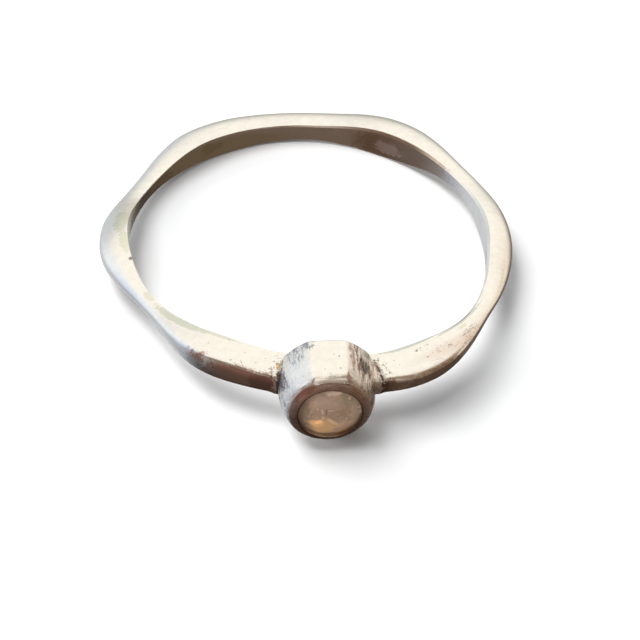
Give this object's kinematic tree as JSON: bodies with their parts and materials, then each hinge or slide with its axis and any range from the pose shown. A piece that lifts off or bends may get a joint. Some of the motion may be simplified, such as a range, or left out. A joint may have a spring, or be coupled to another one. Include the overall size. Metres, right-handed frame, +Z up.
{
  "type": "moonstone ring",
  "caption": "Silver finger ring with a waved band and a faceted peach stone held in a barrel-shaped setting, lying on its side.",
  "frame": {"origin": "bottom centre of the ring's box as it lies on its side, on the surface that it rests on", "axes": "+Z up from the surface, -Y out of the ring through the stone, +X to the right seen from the stone; the finger hole's axis leans back 5.6 degrees from +Z towards +Y"},
  "size_m": [0.0198, 0.022, 0.0045],
  "materials": {
    "silver": "hand-polished silver, lightly pitted and tarnished",
    "stone": "cut and polished, cloudy and translucent"
  },
  "bodies": {
    "root": {"band_with_setting": "silver", "stone": "stone"}
  },
  "joints": []
}
